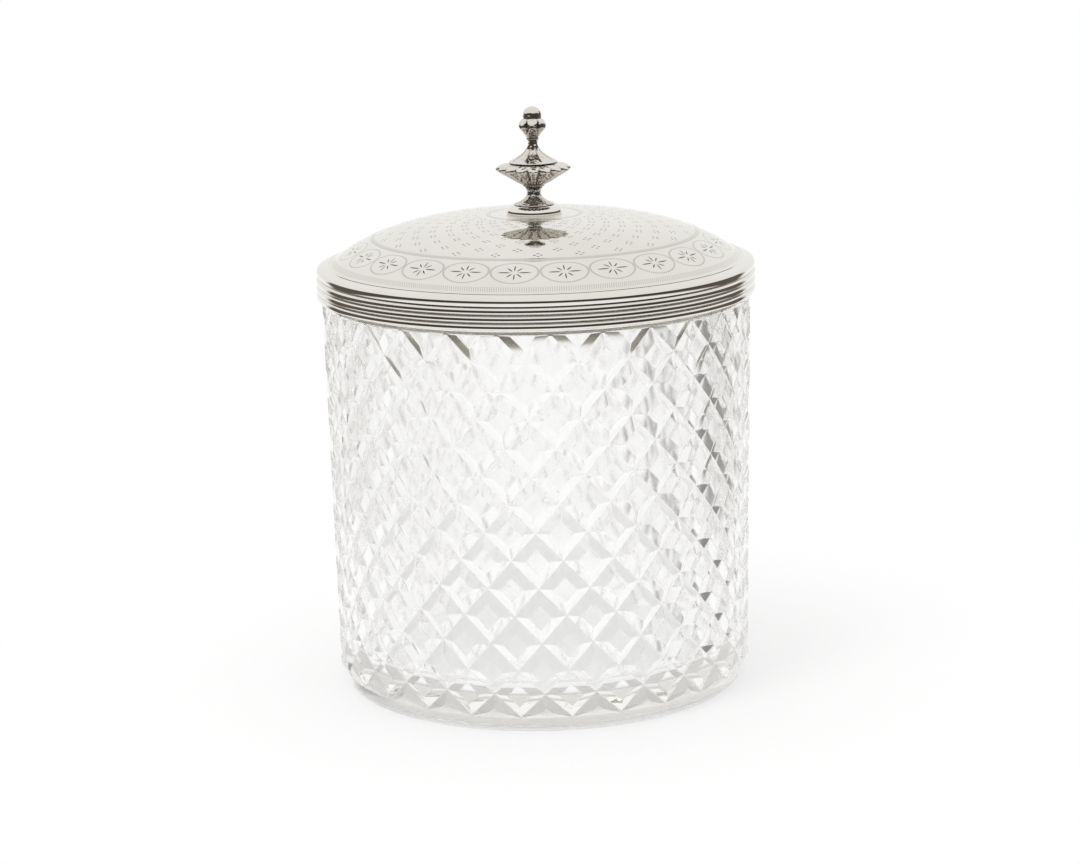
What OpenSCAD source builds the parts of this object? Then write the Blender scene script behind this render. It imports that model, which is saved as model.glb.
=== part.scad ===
// Biscuit jar: a diamond-cut crystal body with a reeded silver-plated collar,
// and a domed silver-plated lid that lifts off by a turned and gadrooned finial.
// Millimetres. The origin is the centre of the foot, +Z is up, and -Y is the front.

/* [Whole jar] */
// Diameter over the reeds of the collar
rim_d = 140; // [136:0.5:146]
// Height of the collar's lower edge above the table
collar_z = 126.2; // [118:0.2:132]

/* [Glass body] */
// Diameter over the diamonds just under the collar
glass_top_d = 136.7; // [134:0.1:137.4]
// Diameter over the diamonds at the foot
glass_foot_d = 133.5; // [131:0.1:136]
// Outside diameter of the foot ring on the table
foot_d = 127.6; // [122:0.1:129]
// Diameter of the straight inside
inside_d = 122; // [118:0.5:124]
// Thickness of the glass floor
floor_t = 10; // [8:0.5:14]
// Radius of the round corner between the floor and the wall inside
floor_fillet = 8; // [4:0.5:12]
// Depth of the ground hollow under the floor
hollow_depth = 1.4; // [1:0.1:2]
// Outside diameter of the ground hollow under the floor
hollow_d = 112; // [104:1:116]

/* [Diamond cut] */
// Number of diamonds round the body
diamonds_around = 26; // [22:1:30]
// Height from one crossing of the cuts to the next
row_pitch = 8.74; // [8.2:0.02:9.2]
// Height between the crossings in the last rows above the foot
foot_pitch = 7.4; // [6.8:0.1:8]
// Height of the crossing that the rows are set out from
cut_z = 46; // [44:0.1:48]
// Depth of the V-shaped cuts
cut_depth = 1.76; // [1.2:0.02:2.2]
// Width of the uncut flat on a diamond as a share of the diamond
flat_share = 0.466; // [0.35:0.002:0.6]
// Turn of the whole pattern from the front, in degrees
cut_turn = -1.14; // [-6:0.02:6]
// Turn of each row on the row below it, in degrees, from the hand cutting
cut_lean = -0.275; // [-0.5:0.005:0.5]

/* [Collar] */
// Height of one reed of the collar
reed_h = 2.4; // [2.2:0.02:2.6]
// Number of reeds
reeds = 3; // [3:1:4]
// Inside diameter of the collar's mouth
mouth_d = 120; // [116:0.5:121]

/* [Lid] */
// Diameter over the lid's rounded border
lid_d = 139.8; // [138:0.1:140]
// Height of the dome's top above the table
dome_top_z = 151.6; // [149:0.1:154]
// Radius of the shoulder where the dome meets the hatched band
shoulder_r = 63.4; // [62:0.1:64]
// Fall of the dome from its top to the shoulder
dome_fall = 12.9; // [10:0.05:15]
// Share of that fall that comes late, near the shoulder
late_fall = 0.66; // [0:0.01:0.7]
// Thickness of the spun sheet
sheet_t = 1; // [0.8:0.05:1.2]
// Depth of the locating wall below the lid's seat
bezel_depth = 5.5; // [3:0.1:8]

/* [Finial] */
// Height of the tip above the table
tip_z = 185.3; // [184:0.1:187]
// Diameter of the cushion-shaped foot on the lid
cushion_d = 18; // [15:0.1:20]
// Height of the cushion-shaped foot's top above the table
stem_z = 154.2; // [153:0.1:155]
// Number of gadroons on the bowl
gadroons = 16; // [12:1:20]
// Number of flutes on the trumpet cover
flutes = 8; // [6:1:12]
// Number of bosses on the knop
bosses = 6; // [5:1:8]
// Diameter of the stud that holds the finial to the lid
stud_d = 2.2; // [1.8:0.1:2.4]

/* [Hidden] */
$fn = 96;

// Glass
rim_r = rim_d / 2;
glass_top_r = glass_top_d / 2;
glass_foot_r = glass_foot_d / 2;
foot_r = foot_d / 2;
inside_r = inside_d / 2;
lip_r = glass_top_r - 1;
lip_z = collar_z - 1.5;
neck_r = lip_r - 1.2;
neck_top_z = collar_z + 5.4;
foot_band_h = 4.8;
foot_band_r = foot_r + 1.4;
foot_cut_slope = 0.78;
// The rows of crossings run from below the foot to above the lip.
first_row = -7;
last_row = 10;
close_row = -3;

// Collar
collar_wall_r = rim_r - reed_h / 2;
collar_top_z = collar_z + reeds * reed_h;
collar_in_r = neck_r + 1;
collar_plate_t = reed_h / 2;
mouth_r = mouth_d / 2;
mouth_bead_r = 0.7;

// Lid
lid_r = lid_d / 2;
seat_z = collar_top_z;
border_in_r = 66.2;
// The border's rounded edge, from its foot on the collar to where its top begins.
border_edge = [[-0.7, 0], [-0.2, 0.6], [0, 1.4], [-0.15, 2.1], [-0.6, 2.55]];
ridge_z = seat_z + 3.4;
ridge_r = 0.4;
band_foot_r = shoulder_r + 1.5;
band_fall = 1;
shoulder_z = dome_top_z - dome_fall;
bezel_r = mouth_r - 0.4;
bezel_t = 0.8;
seat_flat_r = cushion_d / 2;
hole_r = stud_d / 2;
flange_t = 0.8;

// Finial, each piece from its seat upwards
cushion_r = cushion_d / 2;
bowl_z = 159.9;
cover_z = 167.5;
knop_z = 175.3;
stem_foot_r = 6.2;
cushion_waist = 0.2;
washer_t = 1;
nut_h = 2.6;
nut_r = 3;
lobe_steps = 8;

// ---- Diamond cutting ----------------------------------------------------

// Height of a row of crossings. The last rows above the foot sit closer together.
function row_z(j) =
  cut_z + row_pitch * max(j, close_row) + foot_pitch * min(j - close_row, 0);

// Direction of column i at row j, in degrees. The front is -Y.
function cut_dir(i, j) = -90 + cut_turn + i * 180 / diamonds_around + cut_lean * j;

// Outside radius over the flats at a height.
function flat_r(z) = glass_foot_r + (glass_top_r - glass_foot_r) * z / collar_z;

// Point at a radius below the flats, in a direction, at a height.
function wall_point(dir, z, depth) =
  let (r = flat_r(z) - depth) [r * cos(dir), r * sin(dir), z];

function odd(j) = abs(j) % 2;
function mix(a, b, t) = a + (b - a) * t;

// One crossing at the bottom of two cuts.
function crossing(n, j) =
  wall_point(cut_dir(2 * n + odd(j), j), row_z(j), cut_depth);

// Corner of a diamond's flat, part of the way from its centre towards a crossing.
function flat_corner(n, j, di, dj) =
  let (
    i = 2 * n + 1 + odd(j),
    dir = mix(cut_dir(i, j), cut_dir(i + di, j + dj), flat_share),
    z = mix(row_z(j), row_z(j + dj), flat_share)
  ) wall_point(dir, z, 0);

// A solid drum whose side is the whole field of diamonds: each diamond is a flat
// lozenge with four bevels that run down to the cuts round it.
module diamond_drum() {
  around = diamonds_around;
  crossings = [for (j = [first_row:last_row]) for (n = [0:around - 1]) crossing(n, j)];
  corners = [
    for (j = [first_row + 1:last_row - 1]) for (n = [0:around - 1])
      for (d = [[-1, 0], [0, 1], [1, 0], [0, -1]]) flat_corner(n, j, d[0], d[1])
  ];
  ends = [[0, 0, row_z(first_row)], [0, 0, row_z(last_row)]];
  corner_start = len(crossings);
  low_end = corner_start + len(corners);
  high_end = low_end + 1;

  function at(n, j) = (j - first_row) * around + (n % around);
  function ring(n, j) = [at(n, j), at(n + odd(j), j + 1), at(n + 1, j), at(n + odd(j), j - 1)];
  function flat(n, j) =
    let (start = corner_start + 4 * ((j - first_row - 1) * around + n))
    [start, start + 1, start + 2, start + 3];

  diamonds = [
    for (j = [first_row + 1:last_row - 1]) for (n = [0:around - 1])
      let (c = ring(n, j), f = flat(n, j))
      for (k = [0:4]) k == 4 ? f : [c[k], c[(k + 1) % 4], f[(k + 1) % 4], f[k]]
  ];
  low_cap = [
    for (n = [0:around - 1]) let (c = ring(n, first_row + 1))
      for (k = [0:1]) k == 0 ? [c[0], c[3], low_end] : [c[3], c[2], low_end]
  ];
  high_cap = [
    for (n = [0:around - 1]) let (c = ring(n, last_row - 1))
      for (k = [0:1]) k == 0 ? [c[1], c[0], high_end] : [c[2], c[1], high_end]
  ];
  polyhedron(
    points = concat(crossings, corners, ends),
    faces = concat(diamonds, low_cap, high_cap),
    convexity = 6
  );
}

// The round form that the field of diamonds is trimmed to at the foot and the lip.
module trim_form() {
  over = 2;
  trim_r = glass_top_r + over;
  rotate_extrude()
    polygon([
      [0, 0],
      [foot_r, 0],
      [foot_band_r, foot_band_h],
      [trim_r, foot_band_h + (trim_r - foot_band_r) / foot_cut_slope],
      [trim_r, lip_z],
      [0, lip_z]
    ]);
}

// The straight inside with its round corner at the floor.
module inside_form() {
  over = 1;
  corner_steps = 6;
  corner = [
    for (k = [0:corner_steps]) let (a = 90 * k / corner_steps) [
      inside_r - floor_fillet * (1 - sin(a)),
      floor_t + floor_fillet * (1 - cos(a))
    ]
  ];
  rotate_extrude()
    polygon(concat([[0, floor_t]], corner, [[inside_r, neck_top_z + over], [0, neck_top_z + over]]));
}

module glass_body() {
  under = 1;
  color([0.86, 0.92, 0.93, 0.6])
    difference() {
      union() {
        intersection() {
          diamond_drum();
          trim_form();
        }
        translate([0, 0, lip_z - under]) cylinder(r = lip_r, h = collar_z - lip_z + under);
        translate([0, 0, collar_z - under]) cylinder(r = neck_r, h = neck_top_z - collar_z + under);
      }
      inside_form();
      translate([0, 0, -under])
        cylinder(d = hollow_d, h = hollow_depth + under);
    }
}

// ---- Collar ---------------------------------------------------------------

// Drawn band with half-round reeds outside, a flat seat on top and a beaded mouth.
module rim_collar() {
  color([0.88, 0.87, 0.84])
    rotate_extrude()
      union() {
        translate([collar_in_r, collar_z])
          square([collar_wall_r - collar_in_r, collar_top_z - collar_z]);
        translate([mouth_r + mouth_bead_r, collar_top_z - collar_plate_t])
          square([collar_wall_r - mouth_r - mouth_bead_r, collar_plate_t]);
        translate([mouth_r + mouth_bead_r, collar_top_z - mouth_bead_r])
          circle(r = mouth_bead_r, $fn = 24);
        for (k = [0:reeds - 1])
          translate([collar_wall_r, collar_z + (k + 0.5) * reed_h])
            circle(d = reed_h, $fn = 24);
      }
}

// Plaster that beds the collar on the neck of the glass.
module collar_cement() {
  bed_top_z = collar_top_z - collar_plate_t;
  color([0.93, 0.91, 0.86])
    rotate_extrude()
      polygon([
        [neck_r, collar_z],
        [collar_in_r, collar_z],
        [collar_in_r, bed_top_z],
        [inside_r + 0.6, bed_top_z],
        [inside_r + 0.6, neck_top_z],
        [neck_r, neck_top_z]
      ]);
}

// ---- Lid ------------------------------------------------------------------

// Height of the dome's outer face at a radius.
function dome_z(r) =
  let (t = r / shoulder_r)
  dome_top_z - dome_fall * ((1 - late_fall) * pow(t, 2) + late_fall * pow(t, 4));

seat_top_z = dome_z(seat_flat_r);

// Spun lid: a rounded border, a small ridge, the steep band and the dome.
module lid_dome() {
  dome_steps = 20;
  bend = 0.4 * sheet_t;
  dome_radii = [
    for (k = [0:dome_steps]) seat_flat_r + (shoulder_r - seat_flat_r) * (1 - k / dome_steps)
  ];
  outer = concat(
    [[border_in_r, seat_z]],
    [for (p = border_edge) [lid_r + p[0], seat_z + p[1]]],
    [
      [border_in_r + 3.5 * ridge_r, ridge_z - 0.3],
      [border_in_r + ridge_r, ridge_z],
      [border_in_r, ridge_z + ridge_r],
      [border_in_r - 0.8 * ridge_r, ridge_z + 0.8 * ridge_r],
      [band_foot_r, shoulder_z - band_fall]
    ],
    [for (r = dome_radii) [r, dome_z(r)]],
    [[hole_r, seat_top_z]]
  );
  inner = concat(
    [[hole_r, seat_top_z - sheet_t]],
    [for (k = [dome_steps:-1:0]) [dome_radii[k] - bend, dome_z(dome_radii[k]) - sheet_t]],
    [
      [band_foot_r - 2 * bend, shoulder_z - band_fall - sheet_t],
      [border_in_r, seat_z + flange_t]
    ]
  );
  color([0.92, 0.91, 0.88])
    rotate_extrude()
      polygon(concat(outer, inner));
}

// Seat flange and locating wall soldered under the lid, which drop into the collar's mouth.
module lid_bezel() {
  color([0.85, 0.84, 0.8])
    rotate_extrude()
      polygon([
        [bezel_r - bezel_t, seat_z - bezel_depth],
        [bezel_r - 0.3, seat_z - bezel_depth],
        [bezel_r, seat_z - bezel_depth + 0.6],
        [bezel_r, seat_z],
        [border_in_r, seat_z],
        [border_in_r, seat_z + flange_t],
        [bezel_r - bezel_t, seat_z + flange_t]
      ]);
}

// ---- Finial ---------------------------------------------------------------

// Radius factor of a lobed section at an angle: round lobes that meet in sharp valleys,
// or, where the depth is negative, hollow flutes that meet in sharp ridges. One lobe or
// one flute faces the front.
function lobe(depth, count, angle) =
  let (wave = abs(cos(count * (angle + 90) / 2)))
  depth >= 0 ? 1 - depth * (1 - wave) : 1 + depth * wave;

// A turned form with lobes. Each profile row holds radius, height and lobe depth.
module lobed_turning(profile, count) {
  steps = count * lobe_steps;
  rows = len(profile);
  points = [
    for (p = profile) for (k = [0:steps - 1])
      let (a = 360 * k / steps, r = p[0] * lobe(p[2], count, a))
      [r * cos(a), r * sin(a), p[1]]
  ];
  sides = [
    for (j = [0:rows - 2]) for (k = [0:steps - 1]) for (half = [0, 1])
      let (m = (k + 1) % steps, low = j * steps, high = low + steps)
      half == 0 ? [low + k, high + k, high + m] : [low + k, high + m, low + m]
  ];
  bottom = [for (k = [0:steps - 1]) k];
  top = [for (k = [0:steps - 1]) rows * steps - 1 - k];
  polyhedron(points = points, faces = concat(sides, [bottom, top]), convexity = 8);
}

module stud_hole(low, high) {
  over = 0.5;
  translate([0, 0, low - over]) cylinder(r = hole_r, h = high - low + 2 * over, $fn = 48);
}

// Cushion-shaped foot between the lid and the stem.
module finial_foot() {
  cushion_h = stem_z - seat_top_z;
  cushion_steps = 6;
  side = [
    for (k = [0:cushion_steps]) let (a = 90 * k / cushion_steps) [
      stem_foot_r + (cushion_r - stem_foot_r) * cos(a),
      seat_top_z + cushion_h * (cushion_waist + (1 - cushion_waist) * sin(a))
    ]
  ];
  color([0.86, 0.84, 0.8])
    rotate_extrude()
      polygon(concat(
        [[hole_r, seat_top_z], [cushion_r - 0.3, seat_top_z]],
        side,
        [[hole_r, stem_z]]
      ));
}

// Spool-shaped stem with a thin spreading foot and a small ring under the bowl.
module finial_stem() {
  color([0.72, 0.67, 0.6])
    rotate_extrude()
      polygon([
        [hole_r, stem_z],
        [stem_foot_r - 0.4, stem_z],
        [stem_foot_r + 0.2, stem_z + 0.15],
        [stem_foot_r + 0.1, stem_z + 0.35],
        [5.4, stem_z + 0.65],
        [4.25, stem_z + 1.2],
        [3.4, stem_z + 1.8],
        [2.7, stem_z + 2.4],
        [2.35, stem_z + 3.1],
        [2.2, stem_z + 3.9],
        [2.3, stem_z + 4.6],
        [2.6, stem_z + 5.2],
        [2.85, stem_z + 5.5],
        [2.85, bowl_z],
        [hole_r, bowl_z]
      ]);
}

// Gadrooned bowl: round lobes that swell from two small rings to a scalloped rim.
module finial_bowl() {
  profile = [
    [3.1, bowl_z, 0],
    [3.5, bowl_z + 0.35, 0],
    [3.3, bowl_z + 0.6, 0],
    [4, bowl_z + 0.9, 0.08],
    [5.6, bowl_z + 1.6, 0.2],
    [7.7, bowl_z + 3, 0.26],
    [10, bowl_z + 4.3, 0.26],
    [11.4, bowl_z + 5.1, 0.22],
    [12.05, bowl_z + 5.8, 0.17],
    [11.6, bowl_z + 6.4, 0.16],
    [10.3, bowl_z + 6.9, 0.12],
    [8.5, bowl_z + 7.35, 0.04],
    [7.6, cover_z, 0]
  ];
  color([0.74, 0.69, 0.63])
    difference() {
      lobed_turning(profile, gadroons);
      stud_hole(bowl_z, cover_z);
    }
}

// Trumpet-shaped cover: a thin disc edge, hollow flutes and a beaded neck.
module finial_cover() {
  profile = [
    [7.4, cover_z, 0],
    [7.75, cover_z + 0.3, 0],
    [7.2, cover_z + 0.9, 0],
    [5.9, cover_z + 1.6, -0.06],
    [4.7, cover_z + 2.2, -0.12],
    [3.7, cover_z + 2.8, -0.16],
    [2.8, cover_z + 3.6, -0.18],
    [2.15, cover_z + 4.6, -0.12],
    [1.7, cover_z + 5.3, -0.04],
    [1.55, cover_z + 6, 0],
    [1.6, cover_z + 6.7, 0],
    [2, cover_z + 7.3, 0],
    [2.1, knop_z, 0]
  ];
  color([0.8, 0.77, 0.72])
    difference() {
      lobed_turning(profile, flutes);
      stud_hole(cover_z, knop_z);
    }
}

// Bossed knop with its ball tip. The stud ends in a blind hole inside it.
module finial_knop() {
  ball_r = 2.95;
  ball_rise = 0.9;
  ball_z = tip_z - ball_rise * ball_r;
  profile = concat(
    [
      [2.1, knop_z, 0],
      [2.2, knop_z + 0.5, 0],
      [2.75, knop_z + 1.3, 0.02],
      [3.4, knop_z + 2, 0.1],
      [4.2, knop_z + 2.9, 0.2],
      [4.7, knop_z + 4, 0.24],
      [4.4, knop_z + 5, 0.22],
      [3.7, knop_z + 5.8, 0.12],
      [3, knop_z + 6.2, 0]
    ],
    [for (a = [0:15:75]) [ball_r * cos(a), ball_z + ball_rise * ball_r * sin(a), 0]],
    [[0.1, tip_z, 0]]
  );
  color([0.84, 0.82, 0.78])
    difference() {
      lobed_turning(profile, bosses);
      stud_hole(knop_z - 1, knop_z + 3);
    }
}

// Threaded stud from the knop down through the lid.
module finial_stud() {
  stud_top_z = knop_z + 3.5;
  stud_low_z = seat_top_z - sheet_t - washer_t - nut_h - 1.6;
  color([0.7, 0.66, 0.5])
    translate([0, 0, stud_low_z]) cylinder(r = hole_r, h = stud_top_z - stud_low_z, $fn = 48);
}

module stud_washer() {
  washer_r = 5;
  color([0.76, 0.72, 0.58])
    translate([0, 0, seat_top_z - sheet_t - washer_t])
      difference() {
        cylinder(r = washer_r, h = washer_t);
        stud_hole(0, washer_t);
      }
}

module stud_nut() {
  color([0.76, 0.72, 0.58])
    translate([0, 0, seat_top_z - sheet_t - washer_t - nut_h])
      difference() {
        cylinder(r = nut_r, h = nut_h, $fn = 6);
        stud_hole(0, nut_h);
      }
}

glass_body();
rim_collar();
collar_cement();
lid_dome();
lid_bezel();
finial_foot();
finial_stem();
finial_bowl();
finial_cover();
finial_knop();
finial_stud();
stud_washer();
stud_nut();
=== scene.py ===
# %% [markdown]
# # A cut-glass biscuit jar with a silver-plated lid
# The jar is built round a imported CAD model, which holds the true sizes of every piece.
# This first step loads that model as a fixed frame. Nothing in it is moved: each piece
# modelled below is put where the frame's own piece is, and rides on the same body.

# %% Load the frame
import math
import random

import bmesh
import bpy
from mathutils import Matrix, Vector


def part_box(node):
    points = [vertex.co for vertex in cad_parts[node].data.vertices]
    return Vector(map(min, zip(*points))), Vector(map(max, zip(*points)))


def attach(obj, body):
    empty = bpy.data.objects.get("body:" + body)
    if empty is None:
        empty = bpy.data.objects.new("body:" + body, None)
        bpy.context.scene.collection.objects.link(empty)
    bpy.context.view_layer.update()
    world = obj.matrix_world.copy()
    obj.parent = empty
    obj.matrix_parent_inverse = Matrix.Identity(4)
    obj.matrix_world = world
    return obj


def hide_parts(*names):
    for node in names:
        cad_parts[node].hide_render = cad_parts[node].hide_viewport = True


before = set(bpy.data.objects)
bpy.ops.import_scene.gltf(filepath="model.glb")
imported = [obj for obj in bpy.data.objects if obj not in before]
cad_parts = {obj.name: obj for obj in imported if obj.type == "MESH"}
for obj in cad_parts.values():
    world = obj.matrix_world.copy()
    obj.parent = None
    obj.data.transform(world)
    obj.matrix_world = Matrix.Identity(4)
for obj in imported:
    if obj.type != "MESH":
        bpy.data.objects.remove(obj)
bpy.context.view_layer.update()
scene = bpy.context.scene
print("nodes in the frame:", sorted(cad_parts))

# %% [markdown]
# Outlines are easiest to read in millimetres, so every size below is in millimetres and
# one factor turns it to metres. The heights and radii that the pieces share are read
# from the frame, so the pieces meet without any fitting.

# %% Shared sizes
MM = 0.001


def low_of(node):
    """Height of a node's lowest point, in millimetres."""
    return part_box(node)[0].z / MM


def top_of(node):
    """Height of a node's highest point, in millimetres."""
    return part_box(node)[1].z / MM


def radius_of(node):
    """Largest radius of a turned node, in millimetres."""
    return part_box(node)[1].y / MM


COLLAR_Z = low_of("rim_collar")
SEAT_Z = top_of("rim_collar")
RIM_R = radius_of("rim_collar")
LID_R = radius_of("lid_dome")
NECK_TOP_Z = top_of("glass_body")
TIP_Z = top_of("finial_knop")
print(f"collar {COLLAR_Z:.2f} to {SEAT_Z:.2f} mm, rim radius {RIM_R:.2f}, tip at {TIP_Z:.2f}")

# %% [markdown]
# ## Camera
# The photograph was taken with a long lens from a little above the lid. Its place, tilt and
# focal length were worked out from the ellipses of the rim and the foot and from the rows
# of diamonds, which all have to fall on the photograph at once.

# %% Camera
CAMERA_PLACE = (0.00017, -0.8946, 0.28312)
CAMERA_TILT = 90 - 12.793
CAMERA_ROLL = -1.346
LENS_MM = 94.55
SENSOR_MM = 36

camera_data = bpy.data.cameras.new("camera")
camera_data.lens = LENS_MM
camera_data.sensor_width = SENSOR_MM
camera_data.clip_start = 0.05
camera_data.clip_end = 60
camera = bpy.data.objects.new("camera", camera_data)
scene.collection.objects.link(camera)
camera.matrix_world = (
    Matrix.Translation(CAMERA_PLACE)
    @ Matrix.Rotation(math.radians(CAMERA_TILT), 4, "X")
    @ Matrix.Rotation(math.radians(CAMERA_ROLL), 4, "Z")
)
scene.camera = camera

# %% [markdown]
# ## Helpers for materials
# Colours are written as hex codes, as a paint chart gives them, and turned to linear light
# in one place. One function adds a node, sets it and links it, so that each material below
# reads as a short recipe.

# %% Node and colour helpers


def colour(code):
    """Linear colour from an sRGB hex code."""
    parts = [int(code[k:k + 2], 16) / 255 for k in (1, 3, 5)]
    return [c / 12.92 if c <= 0.04045 else ((c + 0.055) / 1.055) ** 2.4 for c in parts] + [1]


def add(tree, kind, inputs=None, **settings):
    """Adds a shader node, sets its properties, and fills or links its inputs."""
    node = tree.nodes.new("ShaderNode" + kind)
    for name, value in settings.items():
        setattr(node, name, value)
    for socket, value in (inputs or {}).items():
        if isinstance(value, bpy.types.NodeSocket):
            tree.links.new(value, node.inputs[socket])
        else:
            node.inputs[socket].default_value = value
    return node


def empty_material(name):
    """A material with an empty node tree."""
    material = bpy.data.materials.new(name)
    material.use_nodes = True
    material.node_tree.nodes.clear()
    return material


# %% [markdown]
# ## Studio
# Plate and polished glass show what stands round them more than they show themselves. The
# photograph's reflections tell of a white table, a white backdrop and a white ceiling, of an
# unlit room in front, which the collar shows as a dark line along each reed, and of a dark
# card to the right, which some of the lozenges show. The world is that studio, with a second
# and much fainter card to the left: the camera sees only white, the plate sees the room, and
# the glass sees mostly white and the cards.

# %% World
ROOM_HEIGHTS = (-34, 27)
ROOM_SIDE = 135
ROOM_EDGE = -math.cos(math.radians(ROOM_SIDE))
ROOM_SIDE_SHARE = 0.42
CARD_HEIGHTS = (-22, 42)
CARD_SIDES = (102, 141)
LEFT_CARD_SHARE = 0.1
SOFT_EDGE = 0.05
FRONT_TO_SIDE = (-0.6, 0.7)
ANYWHERE_BELOW = -2
ROOM_TONE = "#413B35"
ROOM_SIDE_TONE = "#665F57"
CEILING_TONE = "#F7F6F4"
ROOM_SEEN_THROUGH = 0.02
CARD_SEEN_THROUGH = 0.85


def window(tree, value, low, high):
    """Mask that is 1 where a value lies between two limits, with soft edges."""
    over = add(tree, "MapRange", {0: value, 1: low - SOFT_EDGE, 2: low + SOFT_EDGE}).outputs[0]
    under = add(tree, "MapRange", {0: value, 1: high + SOFT_EDGE, 2: high - SOFT_EDGE}).outputs[0]
    return add(tree, "Math", {0: over, 1: under}, operation="MULTIPLY").outputs[0]


def bearing(tree, place):
    """Cosine of the direction away from the front, and height, of a direction or a place."""
    parts = add(tree, "SeparateXYZ", {0: place}).outputs
    level = add(tree, "VectorMath", {0: place, 1: (1, 1, 0)}, operation="MULTIPLY").outputs[0]
    reach = add(tree, "VectorMath", {0: level}, operation="LENGTH").outputs["Value"]
    backwards = add(tree, "Math", {0: parts["Y"], 1: reach}, operation="DIVIDE").outputs[0]
    return parts, reach, backwards


def to_the_side(tree, backwards):
    """Share that grows from the front of the room to its far sides."""
    return add(tree, "MapRange", {0: backwards, 1: FRONT_TO_SIDE[0], 2: FRONT_TO_SIDE[1]}).outputs[0]


def product(tree, first, second):
    """One value times another."""
    return add(tree, "Math", {0: first, 1: second}, operation="MULTIPLY").outputs[0]


def card_side(tree, parts, backwards):
    """Mask of the directions in which a card stands: a dark one right, a faint one left."""
    limits = [-math.cos(math.radians(a)) for a in CARD_SIDES]
    share = add(tree, "MapRange", {0: parts["X"], 1: -SOFT_EDGE, 2: SOFT_EDGE, 3: LEFT_CARD_SHARE, 4: 1.0})
    return product(tree, share.outputs[0], window(tree, backwards, *limits))


def blend(tree, share, first, second):
    """Colour that goes from the first to the second with a share."""
    return add(tree, "Mix", {"Factor": share, "A": first, "B": second}, data_type="RGBA").outputs["Result"]


def white_studio():
    """World shader: white to the camera, and a room with a dark front to the plate and glass."""
    world = bpy.data.worlds.new("white_studio")
    world.use_nodes = True
    tree = world.node_tree
    tree.nodes.clear()
    rays = add(tree, "LightPath").outputs
    parts, _, backwards = bearing(tree, add(tree, "TexCoord").outputs["Generated"])
    room_low, room_high, card_low, card_high = [
        math.sin(math.radians(a)) for a in ROOM_HEIGHTS + CARD_HEIGHTS]
    sideways = to_the_side(tree, backwards)
    thinning = add(tree, "MapRange", {0: sideways, 3: 1.0, 4: ROOM_SIDE_SHARE}).outputs[0]
    row = add(tree, "Math", {0: parts["Z"], 1: thinning}, operation="DIVIDE").outputs[0]
    in_front = window(tree, backwards, ANYWHERE_BELOW, ROOM_EDGE)
    room = product(tree, window(tree, row, room_low, room_high), in_front)
    card = product(tree, window(tree, parts["Z"], card_low, card_high), card_side(tree, parts, backwards))
    through = add(tree, "Math", {0: product(tree, room, ROOM_SEEN_THROUGH),
                                 1: product(tree, card, CARD_SEEN_THROUGH)}, operation="MAXIMUM").outputs[0]
    room_tone = blend(tree, sideways, colour(ROOM_TONE), colour(ROOM_SIDE_TONE))
    mirror_view = blend(tree, room, colour(CEILING_TONE), room_tone)
    glass_view = blend(tree, through, [1, 1, 1, 1], colour(ROOM_TONE))
    shiny = blend(tree, rays["Is Transmission Ray"], mirror_view, glass_view)
    seen = blend(tree, rays["Is Glossy Ray"], [1, 1, 1, 1], shiny)
    ground = add(tree, "Background", {0: seen}).outputs[0]
    add(tree, "OutputWorld", {0: ground})
    return world


scene.world = white_studio()
scene.view_settings.view_transform = "Standard"

# %% [markdown]
# Light enters cut glass and turns many times before it leaves. With the usual number of
# bounces such paths end in black, so the glass would look full of soot.

# %% Light paths for cut glass
scene.cycles.max_bounces = 32
scene.cycles.glossy_bounces = 24
scene.cycles.transmission_bounces = 32

# %% [markdown]
# The table is one large white plane. Close to the jar it takes a part of the jar's shadow;
# further off it fades to plain white, so that it has no edge and no horizon. The key light
# only casts the shadow: the plate doesn't mirror the lamp, since the photograph shows none.

# %% Table and key light
TABLE_SIZE = 30
TABLE_TONE = "#F7F7F6"
TABLE_REACH = 0.25
TABLE_FADE = 0.02
SHADE_NEAR = 0.085
SHADE_FAR = 0.19
PLAIN_SHARE = 0.62
PLAIN_THROUGH = 0.9


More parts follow.
